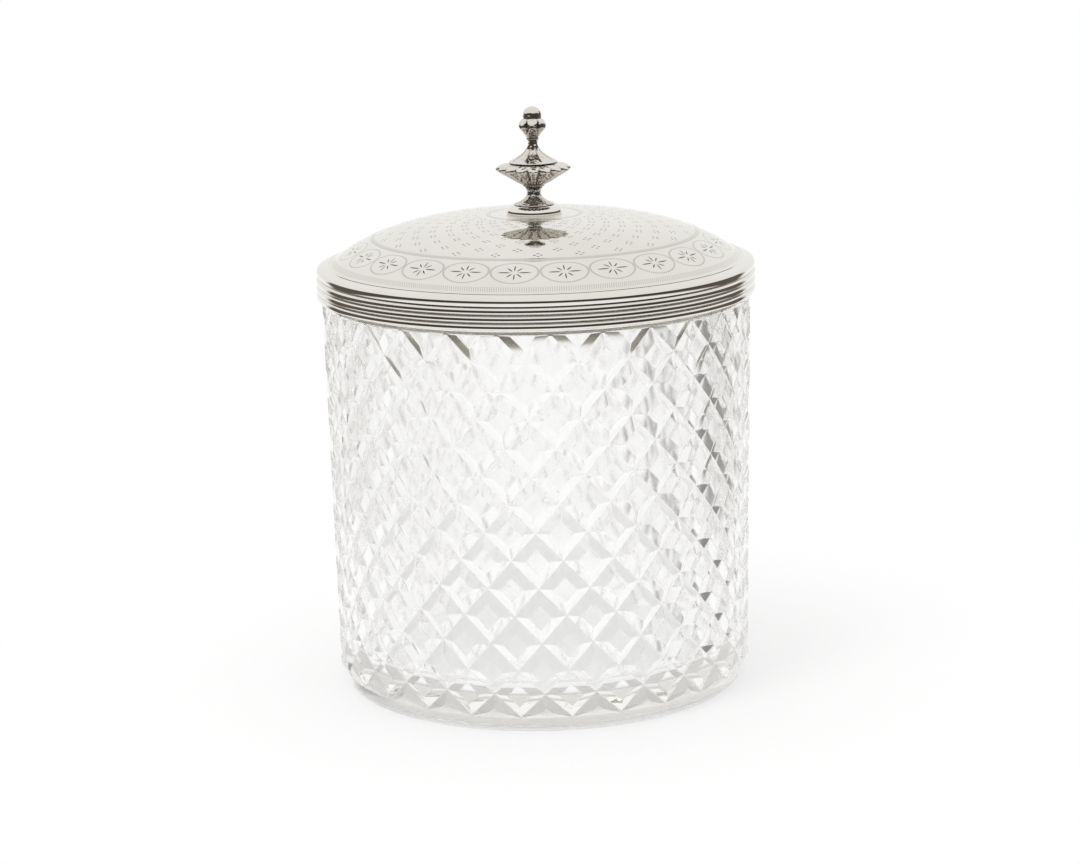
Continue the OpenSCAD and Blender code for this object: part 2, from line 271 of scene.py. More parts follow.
def white_table():
    """Matt white paper near the jar that turns to plain white further away."""
    material = empty_material("white_paper_sweep")
    tree = material.node_tree
    rays = add(tree, "LightPath").outputs
    place = add(tree, "TexCoord").outputs["Object"]
    parts, away, backwards = bearing(tree, place)
    fade = add(tree, "MapRange", {0: away, 1: SHADE_NEAR, 2: SHADE_FAR, 3: PLAIN_SHARE, 4: 1.0},
               interpolation_type="SMOOTHSTEP").outputs[0]
    through = product(tree, rays["Is Transmission Ray"], PLAIN_THROUGH)
    plain_share = add(tree, "Math", {0: fade, 1: through}, operation="MAXIMUM").outputs[0]
    # Past its reach the table carries a painted dark that only mirrors and glass see. In front it is a
    # painted reflection of the unlit room beyond the real table's edge; where the dark card stands, the
    # glass sees the card's tone.
    beyond = add(tree, "MapRange", {0: away, 1: TABLE_REACH - TABLE_FADE,
                                    2: TABLE_REACH + TABLE_FADE}).outputs[0]
    forward = window(tree, backwards, ANYWHERE_BELOW, ROOM_EDGE)
    unlit_zone = product(tree, beyond, forward)
    mirrored = add(tree, "Math", {0: rays["Is Glossy Ray"], 1: rays["Is Transmission Ray"]},
                   operation="SUBTRACT", use_clamp=True).outputs[0]
    by_card = product(tree, product(tree, beyond, card_side(tree, parts, backwards)),
                      product(tree, rays["Is Transmission Ray"], CARD_SEEN_THROUGH))
    dark = add(tree, "Math", {0: product(tree, unlit_zone, mirrored), 1: by_card},
               operation="MAXIMUM").outputs[0]
    room_tone = blend(tree, to_the_side(tree, backwards), colour(ROOM_TONE), colour(ROOM_SIDE_TONE))
    paper = add(tree, "BsdfDiffuse", {"Color": colour(TABLE_TONE)}).outputs[0]
    plain = add(tree, "Emission", {"Color": [1, 1, 1, 1], "Strength": 1.0}).outputs[0]
    sweep = add(tree, "MixShader", {0: plain_share, 1: paper, 2: plain}).outputs[0]
    unlit = add(tree, "Emission", {"Color": room_tone, "Strength": 1.0}).outputs[0]
    seen = add(tree, "MixShader", {0: dark, 1: sweep, 2: unlit}).outputs[0]
    add(tree, "OutputMaterial", {0: seen})
    return material


bpy.ops.object.select_all(action="DESELECT")
bpy.ops.mesh.primitive_plane_add(size=TABLE_SIZE)
table = bpy.context.object
table.name = "table"
table.data.materials.append(white_table())

KEY_PLACE = (-0.75, -0.85, 1.15)
KEY_TARGET = (0, 0, 0.08)
KEY_SIZE = 0.55
KEY_WATTS = 6.0
bpy.ops.object.light_add(type="AREA", location=KEY_PLACE)
key_light = bpy.context.object
key_light.name = "key_light"
key_light.data.size = KEY_SIZE
key_light.data.energy = KEY_WATTS
key_aim = Vector(KEY_TARGET) - Vector(KEY_PLACE)
key_light.rotation_euler = key_aim.to_track_quat("-Z", "Y").to_euler()
key_light.visible_glossy = False
print("studio set: table", TABLE_SIZE, "m, key light", KEY_WATTS, "W")

# %% [markdown]
# ## Helpers for modelling
# Nearly every piece of the jar was spun or turned, so one helper does what the lathe does:
# a single point is extruded along the outline of a piece and the outline is spun round the
# jar's axis. The spin can leave the faces inside out, so they are turned to face outwards.

# %% Turning helpers
TURN_STEPS = 256
TURN_MERGE_MM = 0.004
NEAR_ENOUGH = 0.01


def start_piece(name):
    """A new mesh object with one selected point at the origin, left in edit mode."""
    bpy.ops.object.select_all(action="DESELECT")
    bpy.ops.mesh.primitive_plane_add(size=MM)
    piece = bpy.context.object
    piece.name = piece.data.name = name
    bpy.ops.object.mode_set(mode="EDIT")
    bpy.ops.mesh.select_mode(type="VERT")
    bpy.ops.mesh.select_all(action="SELECT")
    bpy.ops.mesh.merge(type="CENTER")
    return piece


def turned(name, outline, steps=TURN_STEPS, smooth=35):
    """Spins an outline of (radius, height) points, in millimetres, round the jar's axis."""
    piece = start_piece(name)
    here = (0, 0)
    for k, point in enumerate(outline):
        move = (0, -(point[0] - here[0]) * MM, (point[1] - here[1]) * MM)
        if k == 0:
            bpy.ops.transform.translate(value=move)
        else:
            bpy.ops.mesh.extrude_vertices_move(TRANSFORM_OT_translate={"value": move})
        here = point
    bpy.ops.mesh.select_all(action="SELECT")
    bpy.ops.mesh.spin(steps=steps, angle=math.tau, center=(0, 0, 0), axis=(0, 0, 1))
    bpy.ops.mesh.select_all(action="SELECT")
    bpy.ops.mesh.remove_doubles(threshold=TURN_MERGE_MM * MM)
    bpy.ops.mesh.normals_make_consistent(inside=False)
    bpy.ops.object.mode_set(mode="OBJECT")
    bpy.ops.object.shade_smooth_by_angle(angle=math.radians(smooth))
    return piece


def arc(centre_r, centre_z, radius, start, end, steps, flat=1):
    """Points along a round stretch of an outline, from one angle to another in degrees."""
    angles = [math.radians(start + (end - start) * k / steps) for k in range(steps + 1)]
    return [(centre_r + radius * math.cos(a), centre_z + radius * flat * math.sin(a)) for a in angles]


def apply_modifier(piece, kind, **settings):
    """Adds a modifier, sets it and applies it."""
    modifier = piece.modifiers.new(kind.lower(), kind)
    for name, value in settings.items():
        setattr(modifier, name, value)
    bpy.ops.object.select_all(action="DESELECT")
    piece.select_set(True)
    bpy.context.view_layer.objects.active = piece
    bpy.ops.object.modifier_apply(modifier=modifier.name)


def combine(piece, other, operation):
    """Cuts, joins or trims a piece with another one, which is used up."""
    apply_modifier(piece, "BOOLEAN", object=other, operation=operation, solver="EXACT")
    bpy.data.objects.remove(other)


def open_edges(piece):
    """Number of edges that don't have a face on both sides, which is 0 for a closed piece."""
    mesh = bmesh.new()
    mesh.from_mesh(piece.data)
    count = sum(len(edge.link_faces) != 2 for edge in mesh.edges)
    mesh.free()
    return count


def set_on(piece, body, slot, material, *nodes):
    """Gives a finished piece its material and its body, and hides the CAD nodes that it stands for."""
    assert piece.data.polygons, piece.name + " came out empty"
    piece.data.materials.clear()
    piece.data.materials.append(material)
    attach(piece, body)
    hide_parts(*nodes)
    print(f"{piece.name}: {len(piece.data.polygons)} faces, {open_edges(piece)} open edges")


# %% [markdown]
# ## Crystal
# The body is lead crystal: heavy, almost without colour, and with a high index that makes the
# cuts sparkle. It was blown in a mould, cut on wheels and polished in acid. The polish leaves a
# faint waviness a few millimetres across, which gives the flats their soft streaks. The metal
# itself is a little warm, which only tells where light runs far through it, as in the foot.
# The underside was left as the grinding wheel made it, so the floor looks milky from above.
# In the photograph the far wall looks soft. The camera here is sharp at every depth, so a
# slightly dull inside stands in for that: the near cuts stay crisp and the far ones soften.

# %% Crystal material
CRYSTAL_IOR = 1.545
POLISH_WAVE_MM = 7.0
POLISH_DEPTH_MM = 0.012
SMEAR_BAND = (0.35, 0.75)
SMEAR_ROUGHNESS = 0.02
GLASS_TINT = "#CDBF9E"
TINT_PER_METRE = 1.3
GROUND_TOP_MM = 1.8
GROUND_ROUGHNESS = 0.32
FOOT_DULL_TOP_MM = 5.5
FOOT_ROUGHNESS = 0.1
INSIDE_R = 61
INSIDE_ROUGHNESS = 0.11


def lead_crystal():
    """Clear crystal: waved by the polish, ground under the foot and a little dull inside."""
    material = empty_material("lead_crystal_acid_polished")
    tree = material.node_tree
    place = add(tree, "TexCoord").outputs["Object"]
    waves = add(tree, "TexNoise", {"Vector": place, "Scale": 1 / (POLISH_WAVE_MM * MM), "Detail": 2.0})
    ripple = add(tree, "Bump", {"Height": waves.outputs["Fac"], "Strength": 1.0,
                                "Distance": POLISH_DEPTH_MM * MM})
    smear = add(tree, "MapRange", {0: waves.outputs["Fac"], 1: SMEAR_BAND[0], 2: SMEAR_BAND[1],
                                   3: 0.0, 4: SMEAR_ROUGHNESS}).outputs[0]
    height = add(tree, "SeparateXYZ", {0: place}).outputs["Z"]
    foot = add(tree, "MapRange", {0: height, 1: (FOOT_DULL_TOP_MM - 0.5) * MM, 2: FOOT_DULL_TOP_MM * MM,
                                  3: FOOT_ROUGHNESS, 4: 0.0}).outputs[0]
    ground = add(tree, "MapRange", {0: height, 1: (GROUND_TOP_MM - 0.3) * MM, 2: GROUND_TOP_MM * MM,
                                    3: GROUND_ROUGHNESS, 4: 0.0}).outputs[0]
    _, away, _ = bearing(tree, place)
    inner = add(tree, "MapRange", {0: away, 1: (INSIDE_R + 0.5) * MM, 2: (INSIDE_R + 0.1) * MM,
                                   3: 0.0, 4: INSIDE_ROUGHNESS}).outputs[0]
    rough = smear
    for more in (foot, ground, inner):
        rough = add(tree, "Math", {0: rough, 1: more}, operation="MAXIMUM").outputs[0]
    glass = add(tree, "BsdfPrincipled", {
        "Base Color": colour("#FFFFFF"), "Metallic": 0.0, "IOR": CRYSTAL_IOR,
        "Transmission Weight": 1.0, "Roughness": rough, "Normal": ripple.outputs[0],
    })
    tint = add(tree, "VolumeAbsorption", {"Color": colour(GLASS_TINT), "Density": TINT_PER_METRE})
    add(tree, "OutputMaterial", {"Surface": glass.outputs[0], "Volume": tint.outputs[0]})
    return material


crystal = lead_crystal()

# %% [markdown]
# ## Diamond cutting
# Two sets of V-shaped cuts run round the body in crossing spirals and leave a field of
# lozenges, each with a flat that the wheel never touched and four bevels. The field could be
# cut with hundreds of wedges, but a sheet is simpler: a grid is poked so that its cells turn
# into lozenges, each lozenge is inset and raised, and the sheet is rolled into a drum.

# %% Lay out the sheet of lozenges
DIAMONDS = 26
ROW_PITCH = 8.74
FOOT_PITCH = 7.4
CLOSE_ROW = -3
CUT_Z = 46
CUT_DEPTH = 1.76
FLAT_SHARE = 0.466
CUT_TURN = -1.14
CUT_LEAN = -0.275
FIRST_ROW = -8
LAST_ROW = 10
GLASS_TOP_R = 68.35
GLASS_FOOT_R = 66.75
SPARE_CELLS = 2


def pick(mesh_part, rule):
    """Selects the faces, edges or points of the piece in edit mode that follow a rule."""
    bpy.ops.mesh.select_all(action="DESELECT")
    mesh = bmesh.from_edit_mesh(bpy.context.object.data)
    for element in getattr(mesh, mesh_part):
        if rule(element):
            element.select_set(True)
    bmesh.update_edit_mesh(bpy.context.object.data)


def along_the_grid(edge):
    """True for an edge of the first grid that lies inside the sheet."""
    run = edge.verts[1].co - edge.verts[0].co
    return not edge.is_boundary and min(abs(run.x), abs(run.y)) < NEAR_ENOUGH


def past_the_seam(face):
    """True for a lozenge that the rolled drum would hold twice."""
    middle = face.calc_center_median().x
    return middle < -DIAMONDS - 0.4 or middle > DIAMONDS - 0.6


def lozenge_sheet():
    """Flat field of lozenges: one unit is half a diamond along x and one row along y."""
    rows = LAST_ROW - FIRST_ROW
    wide = DIAMONDS + SPARE_CELLS
    bpy.ops.object.select_all(action="DESELECT")
    bpy.ops.mesh.primitive_grid_add(x_subdivisions=wide, y_subdivisions=rows // 2, size=2)
    sheet = bpy.context.object
    sheet.name = sheet.data.name = "cut_glass_body"
    bpy.ops.object.mode_set(mode="EDIT")
    bpy.ops.transform.resize(value=(wide, rows / 2, 1))
    bpy.ops.transform.translate(value=(0, (FIRST_ROW + LAST_ROW) / 2, 0))
    bpy.ops.mesh.poke()
    bpy.ops.mesh.select_mode(type="EDGE")
    pick("edges", along_the_grid)
    bpy.ops.mesh.dissolve_edges(use_verts=False)
    bpy.ops.mesh.select_mode(type="FACE")
    pick("faces", past_the_seam)
    bpy.ops.mesh.delete(type="FACE")
    return sheet


body = lozenge_sheet()

# %% [markdown]
# The inset leaves a flat that is a fixed share of its lozenge. Cutting by hand never gives
# two flats alike, so each one is raised with a tilt of its own of a few hundredths of a
# millimetre: that is enough for neighbouring flats to catch the light differently.

# %% Inset, raise and roll
APOTHEM = math.sqrt(0.5)
FLAT_TILT_MM = 0.03
SHEET_MERGE_MM = 0.02


def row_height(row):
    """Height of a row of crossings. The last rows above the foot sit closer together."""
    return CUT_Z + ROW_PITCH * max(row, CLOSE_ROW) + FOOT_PITCH * min(row - CLOSE_ROW, 0)


def flat_radius(height):
    """Outside radius over the flats at a height."""
    return GLASS_FOOT_R + (GLASS_TOP_R - GLASS_FOOT_R) * height / COLLAR_Z


def raise_flats(seed=7):
    """Insets every lozenge and lifts its flat, each with a small tilt of its own."""
    bpy.ops.mesh.select_all(action="SELECT")
    bpy.ops.mesh.inset(thickness=(1 - FLAT_SHARE) * APOTHEM, use_individual=True)
    dice = random.Random(seed)
    mesh = bmesh.from_edit_mesh(bpy.context.object.data)
    for face in [f for f in mesh.faces if f.select]:
        middle = face.calc_center_median()
        lean = (dice.uniform(-1, 1), dice.uniform(-1, 1))
        for point in face.verts:
            away = point.co - middle
            tilt = (lean[0] * away.x + lean[1] * away.y) / FLAT_SHARE
            point.co.z = CUT_DEPTH + FLAT_TILT_MM * tilt
    bmesh.update_edit_mesh(bpy.context.object.data)
    bpy.ops.mesh.poke()


def roll_up(sheet):
    """Rolls the sheet into a drum: x turns into a direction, y into a height, z into relief."""
    for point in sheet.data.vertices:
        column, row, relief = point.co
        height = row_height(row)
        direction = math.radians(-90 + CUT_TURN + column * 180 / DIAMONDS + CUT_LEAN * row)
        radius = flat_radius(height) - CUT_DEPTH + relief
        point.co = Vector((radius * math.cos(direction), radius * math.sin(direction), height)) * MM


raise_flats()
bpy.ops.object.mode_set(mode="OBJECT")
roll_up(body)
bpy.ops.object.mode_set(mode="EDIT")
bpy.ops.mesh.select_mode(type="VERT")
bpy.ops.mesh.select_all(action="SELECT")
bpy.ops.mesh.remove_doubles(threshold=SHEET_MERGE_MM * MM)
bpy.ops.mesh.select_all(action="DESELECT")
bpy.ops.mesh.select_non_manifold()
bpy.ops.mesh.fill_holes(sides=0)
bpy.ops.mesh.select_all(action="SELECT")
bpy.ops.mesh.normals_make_consistent(inside=False)
bpy.ops.object.mode_set(mode="OBJECT")
print("drum of lozenges:", len(body.data.polygons), "faces")

# %% [markdown]
# A cut edge is crisp but never a razor: the acid rounds it by about a tenth of a millimetre,
# and that narrow strip is what draws the bright line along each edge. A bevel modifier that
# only takes edges with a real corner does this for the whole field at once.

# %% Soften the cut edges
EDGE_SOFT_MM = 0.11
CORNER_ANGLE = 9
apply_modifier(body, "BEVEL", width=EDGE_SOFT_MM * MM, segments=1, limit_method="ANGLE",
               angle_limit=math.radians(CORNER_ANGLE))

# %% [markdown]
# The drum is then trimmed as on the wheel: to a cone over the foot ring, so that the lowest
# cuts end in small arches, and to a flat under the lip. The plain lip and neck, which the
# collar grips, are joined on, and the inside and the ground hollow in the foot are cut out.
# Cuts that nearly meet an edge leave points side by side, which are merged to close the seams.

# %% Foot, lip, neck and inside
FOOT_R = 63.8
FOOT_BAND_H = 4.8
FOOT_BAND_R = 65.2
FOOT_CUT_SLOPE = 0.78
LIP_R = 67.35
LIP_Z = COLLAR_Z - 1.5
NECK_R = 66.15
FLOOR_Z = 10
FLOOR_FILLET = 8
HOLLOW_R = 56
HOLLOW_DEPTH = 1.4
OVER = 2
SEAM_MM = 0.001
FLAT_ANGLE = 5

trim_r = GLASS_TOP_R + OVER
trim = turned("trim", [
    (0, 0), (FOOT_R - 0.5, 0), (FOOT_R, 0.4), (FOOT_BAND_R, FOOT_BAND_H),
    (trim_r, FOOT_BAND_H + (trim_r - FOOT_BAND_R) / FOOT_CUT_SLOPE), (trim_r, LIP_Z), (0, LIP_Z),
])
lip = turned("lip", [
    (0, LIP_Z - OVER), (LIP_R - 1.5, LIP_Z - OVER), *arc(LIP_R - 0.5, COLLAR_Z - 0.5, 0.5, 0, 90, 4),
    (NECK_R, COLLAR_Z), (NECK_R, NECK_TOP_Z - 0.4), (NECK_R - 0.4, NECK_TOP_Z), (0, NECK_TOP_Z),
])
inside = turned("inside", [
    (0, FLOOR_Z), *arc(INSIDE_R - FLOOR_FILLET, FLOOR_Z + FLOOR_FILLET, FLOOR_FILLET, -90, 0, 12),
    (INSIDE_R, NECK_TOP_Z + OVER), (0, NECK_TOP_Z + OVER),
])
hollow = turned("hollow", [
    (0, -OVER), (HOLLOW_R + OVER, -OVER), (HOLLOW_R, 0), (HOLLOW_R - 3, HOLLOW_DEPTH), (0, HOLLOW_DEPTH),
])
combine(body, trim, "INTERSECT")
combine(body, lip, "UNION")
combine(body, inside, "DIFFERENCE")
combine(body, hollow, "DIFFERENCE")
bpy.ops.object.mode_set(mode="EDIT")
bpy.ops.mesh.select_all(action="SELECT")
bpy.ops.mesh.remove_doubles(threshold=SEAM_MM * MM)
bpy.ops.object.mode_set(mode="OBJECT")
bpy.ops.object.shade_smooth_by_angle(angle=math.radians(FLAT_ANGLE))
set_on(body, "jar", "crystal", crystal, "glass_body")

# %% [markdown]
# ## Silver plate
# Collar, lid and finial are electroplated silver on a white base metal. Plate is a little
# warm, and years of polishing leave fine wipe marks and a faint bloom of tarnish. The base
# colour is close to silver's own, the roughness is low and wanders with the bloom.

# %% Plate material
PLATE_TONE = "#F0EFEB"
BLOOM_TONE = "#E2DFD7"
BLOOM_MM = 22
NOISE_BAND = (0.3, 0.7)
HAZE = (0.035, 0.075)
WIPE_MM = 0.9
WIPE_DEPTH_MM = 0.002
WIPE_STRENGTH = 0.5
WIPE_SQUEEZE = (1, 1, 6)


def spread(tree, noise, low, high):
    """Value that wanders between two limits with a noise."""
    return add(tree, "MapRange", {0: noise, 1: NOISE_BAND[0], 2: NOISE_BAND[1], 3: low, 4: high}).outputs[0]


def plate_surface(tree):
    """Place, colour, roughness and pattern of wipe marks that all the plated pieces share."""
    place = add(tree, "TexCoord").outputs["Object"]
    bloom = add(tree, "TexNoise", {"Vector": place, "Scale": 1 / (BLOOM_MM * MM), "Detail": 4.0})
    tone = blend(tree, bloom.outputs["Fac"], colour(PLATE_TONE), colour(BLOOM_TONE))
    haze = spread(tree, bloom.outputs["Fac"], *HAZE)
    drawn = add(tree, "Mapping", {"Vector": place, "Scale": WIPE_SQUEEZE}).outputs[0]
    wipes = add(tree, "TexNoise", {"Vector": drawn, "Scale": 1 / (WIPE_MM * MM), "Detail": 3.0})
    return place, tone, haze, wipes.outputs["Fac"]


def wiped(tree, wipes, depth=WIPE_DEPTH_MM, **under):
    """Relief of the wipe marks, laid over another relief where one is given."""
    return add(tree, "Bump", {"Height": wipes, "Strength": WIPE_STRENGTH, "Distance": depth * MM,
                              **under}).outputs[0]


def silver_plate(name):
    """Polished silver plate with bloom and wipe marks."""
    material = empty_material(name)
    tree = material.node_tree
    _, tone, haze, wipes = plate_surface(tree)
    plate = add(tree, "BsdfPrincipled", {
        "Base Color": tone, "Metallic": 1.0, "Roughness": haze, "Normal": wiped(tree, wipes),
    })
    add(tree, "OutputMaterial", {0: plate.outputs[0]})
    return material


plain_plate = silver_plate("silver_plate_polished")

# %% [markdown]
# ## Collar
# The collar is a drawn band with three half-round reeds. It is bedded on the neck of the
# glass in plaster. Its top is turned in to a beaded mouth, on which the lid's edge rests.

# %% Collar and plaster
REEDS = 3
REED_ARC = 84
REED_H = (SEAT_Z - COLLAR_Z) / REEDS
WALL_R = RIM_R - REED_H / 2
COLLAR_IN_R = NECK_R + 1
PLATE_T = REED_H / 2
UNDER_PLATE_Z = SEAT_Z - PLATE_T - 0.3
MOUTH_R = 60
BEAD_R = 0.7
GAP = 0.03

reeds = []
for k in range(REEDS):
    reeds += arc(WALL_R, COLLAR_Z + (k + 0.5) * REED_H, REED_H / 2, -REED_ARC, REED_ARC, 14)
bead = arc(MOUTH_R + BEAD_R, SEAT_Z - BEAD_R, BEAD_R, 90, 270, 10)
collar_foot = (COLLAR_IN_R, COLLAR_Z + GAP)
collar = turned("reeded_collar", [
    collar_foot, (WALL_R, COLLAR_Z + GAP), *reeds, (WALL_R - 0.3, SEAT_Z), *bead,
    (MOUTH_R + BEAD_R, UNDER_PLATE_Z), (COLLAR_IN_R, UNDER_PLATE_Z), collar_foot,
])
set_on(collar, "jar", "plated_collar", plain_plate, "rim_collar")

# %% [markdown]
# The plaster is only seen as a pale ring through the glass of the neck. It is a bone white
# powdery bed, so it is matt with a fine grain.

# %% Plaster bed
PLASTER_TONE = "#EFE7D2"
PLASTER_SHADE = "#DCD0B4"
GRAIN_MM = 0.4
GRAIN_DEPTH_MM = 0.05


def plaster_of_paris():
    """Matt bone-white plaster with a fine grain."""
    material = empty_material("plaster_of_paris")
    tree = material.node_tree
    place = add(tree, "TexCoord").outputs["Object"]
    grain = add(tree, "TexNoise", {"Vector": place, "Scale": 1 / (GRAIN_MM * MM), "Detail": 3.0})
    tone = blend(tree, grain.outputs["Fac"], colour(PLASTER_TONE), colour(PLASTER_SHADE))
    rough = add(tree, "Bump", {"Height": grain.outputs["Fac"], "Distance": GRAIN_DEPTH_MM * MM}).outputs[0]
    bed = add(tree, "BsdfPrincipled", {"Base Color": tone, "Roughness": 0.9, "IOR": 1.5, "Normal": rough})
    add(tree, "OutputMaterial", {0: bed.outputs[0]})
    return material


cement_foot = (NECK_R + GAP, COLLAR_Z + 2 * GAP)
cement_top_z = UNDER_PLATE_Z - GAP
cement = turned("plaster_bed", [
    cement_foot, (COLLAR_IN_R - GAP, COLLAR_Z + 2 * GAP), (COLLAR_IN_R - GAP, cement_top_z),
    (INSIDE_R + 0.6, cement_top_z), (INSIDE_R + 0.6, NECK_TOP_Z + GAP), (NECK_R + GAP, NECK_TOP_Z + GAP),
    cement_foot,
])
set_on(cement, "jar", "plaster", plaster_of_paris(), "collar_cement")

# %% [markdown]
# ## Bright-cut engraving
# The dome was engraved by hand with a polished graver, which leaves short strokes that read
# dark against the plate. They could be cut as grooves, but there are over a thousand and none
# is deeper than a hair, so the material draws them. A place on the lid is turned to a radius
# and a share of a turn, these are folded into one cell of the pattern, and then only the few
# strokes of that one cell have to be drawn: each is a narrow oval with a soft edge.

# %% Fold the lid into cells
CELLS = 24
STROKE_EDGE = (1.2, 0.7)


def lid_polar(tree, place):
    """Radius in millimetres, and number of cells from the front, of a place on the lid."""
    level = add(tree, "VectorMath", {0: place, 1: (1 / MM, -1 / MM, 0)}, operation="MULTIPLY").outputs[0]
    radius = add(tree, "VectorMath", {0: level}, operation="LENGTH").outputs["Value"]
    parts = add(tree, "SeparateXYZ", {0: level}).outputs
    turn = add(tree, "Math", {0: parts["X"], 1: parts["Y"]}, operation="ARCTAN2").outputs[0]
    return radius, product(tree, turn, CELLS / math.tau)


def in_cell(tree, radius, cells, shift, middle_r, half_step):
    """Place in one cell of a ring, in millimetres from its middle, folded onto one quarter."""
    moved = add(tree, "Math", {0: cells, 1: shift}, operation="SUBTRACT").outputs[0]
    share = add(tree, "Math", {0: moved, 1: 0.5, 2: -0.5}, operation="WRAP").outputs[0]
    along = product(tree, product(tree, share, radius), math.tau / CELLS)
    off = add(tree, "Math", {0: radius, 1: middle_r}, operation="SUBTRACT").outputs[0]
    across = add(tree, "Math", {0: off, 1: half_step, 2: -half_step}, operation="WRAP").outputs[0]
    spot = add(tree, "CombineXYZ", {"X": along, "Y": across}).outputs[0]
    return add(tree, "VectorMath", {0: spot}, operation="ABSOLUTE").outputs[0]


def stroke(tree, spot, middle, size, angle=0):
    """Mask of one cut: a narrow oval with a middle, a half length and half width, and a turn."""
    own = add(tree, "Mapping", {"Vector": spot, "Location": (*middle, 0), "Scale": (*size, 1),
                                "Rotation": (0, 0, math.radians(angle))}, vector_type="TEXTURE").outputs[0]
    reach = add(tree, "VectorMath", {0: own}, operation="LENGTH").outputs["Value"]
    return add(tree, "MapRange", {0: reach, 1: STROKE_EDGE[0], 2: STROKE_EDGE[1]}).outputs[0]


def strongest(tree, masks):
    """One mask that holds the strongest of several."""
    most = masks[0]
    for mask in masks[1:]:
        most = add(tree, "Math", {0: most, 1: mask}, operation="MAXIMUM").outputs[0]
    return most


# %% [markdown]
# Three things are engraved. Near the shoulder runs a ring of 24 ovals, each with a star of
# eight strokes. Inside it the dome is strewn with small diamonds of four dashes, in rings that
# stand half a cell apart. Close lines fill two narrow bands and hatch the steep band.

# %% Strokes of the pattern
OVAL_R = 57.9
OVAL_HALF = (7.6, 4.5)
OVAL_START = 8.7 / 15
OVAL_LINE = 0.42
OVAL_DARKNESS = 0.3
FIELD_R = 49.3
FIELD_STEP = 3.05
FIELD_LIMITS = (17.0, 50.3)
FIELD_START = 0.9 / 15
FIELD_DARKNESS = 0.8
FILLED_BANDS = ((13.9, 15.5), (51.0, 52.4))
HATCH_BAND = (63.5, 65.2)
HATCH_PITCH = 0.7
HATCH_EDGE = (0.26, 0.12)
HATCH_DARKNESS = 0.22
BAND_DARKNESS = 0.24
LONE_RING_STEP = 20


def oval_ring(tree, radius, cells):
    """Mask of the ring of ovals with their stars."""
    spot = in_cell(tree, radius, cells, OVAL_START, OVAL_R, LONE_RING_STEP)
    star = [
        stroke(tree, spot, (3.1, 0), (1.9, 0.22)),
        stroke(tree, spot, (0, 1.85), (0.2, 1.15)),
        stroke(tree, spot, (1.5, 1.25), (1.05, 0.2), 41),
    ]
    round_spot = add(tree, "VectorMath", {0: spot, 1: (OVAL_HALF[1] / OVAL_HALF[0], 1, 1)},
                     operation="MULTIPLY").outputs[0]
    out = add(tree, "VectorMath", {0: round_spot}, operation="LENGTH").outputs["Value"]
    rim = product(tree, window(tree, out, OVAL_HALF[1] - OVAL_LINE, OVAL_HALF[1]), OVAL_DARKNESS)
    near = window(tree, radius, OVAL_R - OVAL_HALF[1] - 0.2, OVAL_R + OVAL_HALF[1] + 0.2)
    return product(tree, strongest(tree, star + [rim]), near)


def strewn_field(tree, radius, cells):
    """Mask of the rings of small diamonds."""
    off = add(tree, "Math", {0: FIELD_R, 1: radius}, operation="SUBTRACT").outputs[0]
    ring = add(tree, "Math", {0: product(tree, off, 1 / FIELD_STEP)}, operation="ROUND").outputs[0]
    odd = add(tree, "Math", {0: ring, 1: 1.0}, operation="PINGPONG").outputs[0]
    moved = add(tree, "Math", {0: cells, 1: product(tree, odd, 0.5)}, operation="SUBTRACT").outputs[0]
    spot = in_cell(tree, radius, moved, FIELD_START, FIELD_R, FIELD_STEP / 2)
    dashes = [stroke(tree, spot, (1.05, 0), (0.46, 0.24)), stroke(tree, spot, (0, 0.85), (0.48, 0.2))]
    near = product(tree, window(tree, radius, *FIELD_LIMITS), FIELD_DARKNESS)
    return product(tree, strongest(tree, dashes), near)


def close_lines(tree, radius, cells):
    """Mask of the filled bands and of the hatched band."""
    filled = [product(tree, window(tree, radius, *band), BAND_DARKNESS) for band in FILLED_BANDS]
    along = product(tree, product(tree, cells, radius), math.tau / CELLS)
    comb = add(tree, "Math", {0: along, 1: HATCH_PITCH / 2}, operation="PINGPONG").outputs[0]
    line = add(tree, "MapRange", {0: comb, 1: HATCH_EDGE[0], 2: HATCH_EDGE[1], 4: HATCH_DARKNESS}).outputs[0]
    return strongest(tree, filled + [product(tree, line, window(tree, radius, *HATCH_BAND))])


# %% [markdown]
# A cut shows dark because its sides throw the light away, and because polish and dirt stay in
# it. So the mask both dents the plate and darkens its colour: that dark is partly painted shade,
# for the light the sides throw away, and partly the dirt.

# %% Engraved plate
CUT_SHADE_AND_DIRT_TONE = "#4A4641"
ENGRAVING_DEPTH_MM = 0.06


def engraved_plate():
    """Silver plate that the engraving dents, and darkens with painted shade and dirt."""
    material = empty_material("silver_plate_bright_cut")
    tree = material.node_tree
    place, tone, haze, wipes = plate_surface(tree)
    radius, cells = lid_polar(tree, place)
    cuts = strongest(tree, [part(tree, radius, cells) for part in (oval_ring, strewn_field, close_lines)])
    grooves = add(tree, "Bump", {"Height": cuts, "Strength": 1.0, "Distance": ENGRAVING_DEPTH_MM * MM,
                                 "Normal": wiped(tree, wipes)}, invert=True).outputs[0]
    # The cuts darken the colour: partly painted shade, partly the dirt left in them.
    plate = add(tree, "BsdfPrincipled", {
        "Base Color": blend(tree, cuts, tone, colour(CUT_SHADE_AND_DIRT_TONE)), "Metallic": 1.0,
        "Roughness": haze, "Normal": grooves,
    })
    add(tree, "OutputMaterial", {0: plate.outputs[0]})
    return material


# %% [markdown]
# ## Lid
# The lid is one sheet, spun over a form: a rounded border, a small ridge, a steep hatched
# band and a low dome. The ring lines round the dome were cut with the lid on the lathe, so
# they are true grooves in the outline here.

